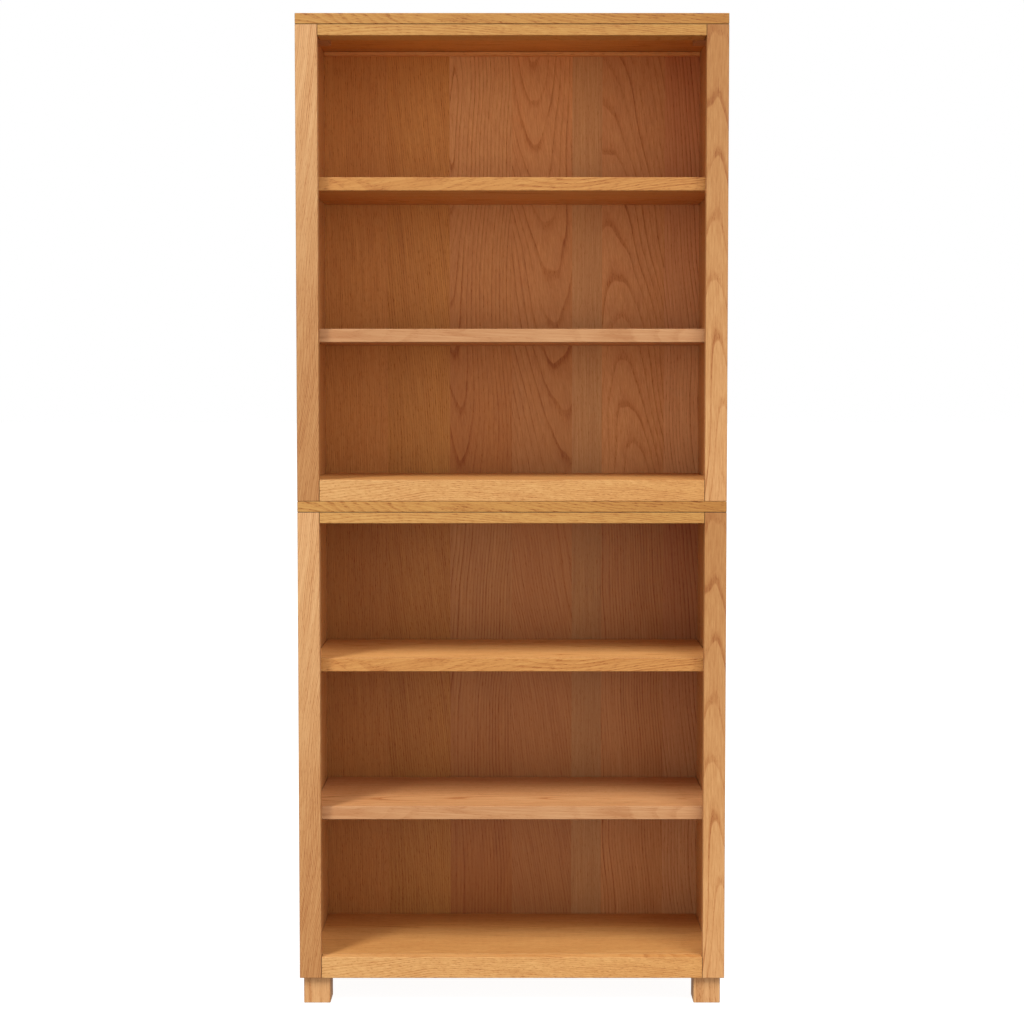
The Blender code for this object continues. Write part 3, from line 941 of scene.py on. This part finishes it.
# ---------------------------------------------------------------- the studio
def floor():
    """A pale floor, bright enough that only what stands on it darkens it."""
    shape = bmesh.new()
    bmesh.ops.create_grid(shape, x_segments=8, y_segments=8, size=FLOOR_SIZE)
    thing = linked("floor", shape)
    g = Graph("pale_floor")
    where = g.node("ShaderNodeTexCoord").outputs["Object"]
    grain = g.noise(where, (3, 3, 3), 2.0)
    level = g.added(grain, FLOOR_GRAIN, FLOOR_LEVEL)
    g.feed(g.shader.inputs["Emission Color"], (1.0, 1.0, 1.0, 1.0))
    g.shader.inputs["Emission Strength"].default_value = FLOOR_GLOW
    material = g.finish(g.colour(level, level, level), 0.9, grain, (0.02, 0.001))
    thing.data.materials.append(material)
    thing.visible_diffuse = False
    thing.visible_glossy = False


def direction(azimuth, elevation):
    """Towards a light at an azimuth to the right of the front, and an elevation."""
    a, e = math.radians(azimuth), math.radians(elevation)
    return Vector((math.sin(a) * math.cos(e), -math.cos(a) * math.cos(e), math.sin(e)))


def studio():
    """A sky of soft lobes, white where the camera sees it, and two large lamps."""
    world = bpy.data.worlds.new("studio")
    bpy.context.scene.world = world
    world.use_nodes = True
    tree = world.node_tree
    tree.nodes.clear()

    def node(kind, inputs=(), **settings):
        made = tree.nodes.new(kind)
        for key, value in settings.items():
            setattr(made, key, value)
        for key, value in dict(inputs).items():
            if isinstance(value, bpy.types.NodeSocket):
                tree.links.new(value, made.inputs[key])
            else:
                made.inputs[key].default_value = value
        return made.outputs[0] if made.outputs else made

    where = node("ShaderNodeTexCoord")
    total = 0.0
    for azimuth, elevation, sharpness, radiance in LOBES:
        facing = tree.nodes.new("ShaderNodeVectorMath")
        facing.operation = "DOT_PRODUCT"
        tree.links.new(where, facing.inputs[0])
        facing.inputs[1].default_value = direction(azimuth, elevation)
        facing = node("ShaderNodeMath", {0: facing.outputs["Value"], 1: 0.0}, operation="MAXIMUM")
        lobe = node("ShaderNodeMath", {0: facing, 1: float(sharpness)}, operation="POWER")
        total = node("ShaderNodeMath", {0: lobe, 1: radiance, 2: total}, operation="MULTIPLY_ADD")
    light = node("ShaderNodeBackground", {"Color": (1, 1, 1, 1), "Strength": total})
    white = node("ShaderNodeBackground", {"Color": (1, 1, 1, 1), "Strength": 1.0})
    seen = node("ShaderNodeLightPath")
    mix = node("ShaderNodeMixShader", {0: seen, 1: light, 2: white})
    node("ShaderNodeOutputWorld", {"Surface": mix})

    middle = (CAD_BOX[0] + CAD_BOX[1]) / 2
    for name, (azimuth, elevation, distance, width, height, strength) in LAMPS.items():
        data = bpy.data.lights.new(name, "AREA")
        data.shape = "RECTANGLE"
        data.size, data.size_y = width, height
        data.energy = strength * math.pi ** 2 * distance ** 2
        lamp = bpy.data.objects.new(name, data)
        bpy.context.scene.collection.objects.link(lamp)
        toward = direction(azimuth, elevation)
        lamp.location = middle + toward * distance
        lamp.rotation_mode = "QUATERNION"
        lamp.rotation_quaternion = toward.to_track_quat("Z", "Y")

    bpy.context.scene.view_settings.view_transform = "Standard"


def camera():
    data = bpy.data.cameras.new("camera")
    data.lens = CAMERA_LENS
    data.sensor_width = CAMERA_SENSOR
    data.shift_y = CAMERA_SHIFT
    thing = bpy.data.objects.new("camera", data)
    bpy.context.scene.collection.objects.link(thing)
    thing.location = CAMERA_PLACE
    thing.rotation_euler = (math.radians(90 - CAMERA_DOWN), 0.0, 0.0)
    bpy.context.scene.camera = thing


floor()
studio()
camera()
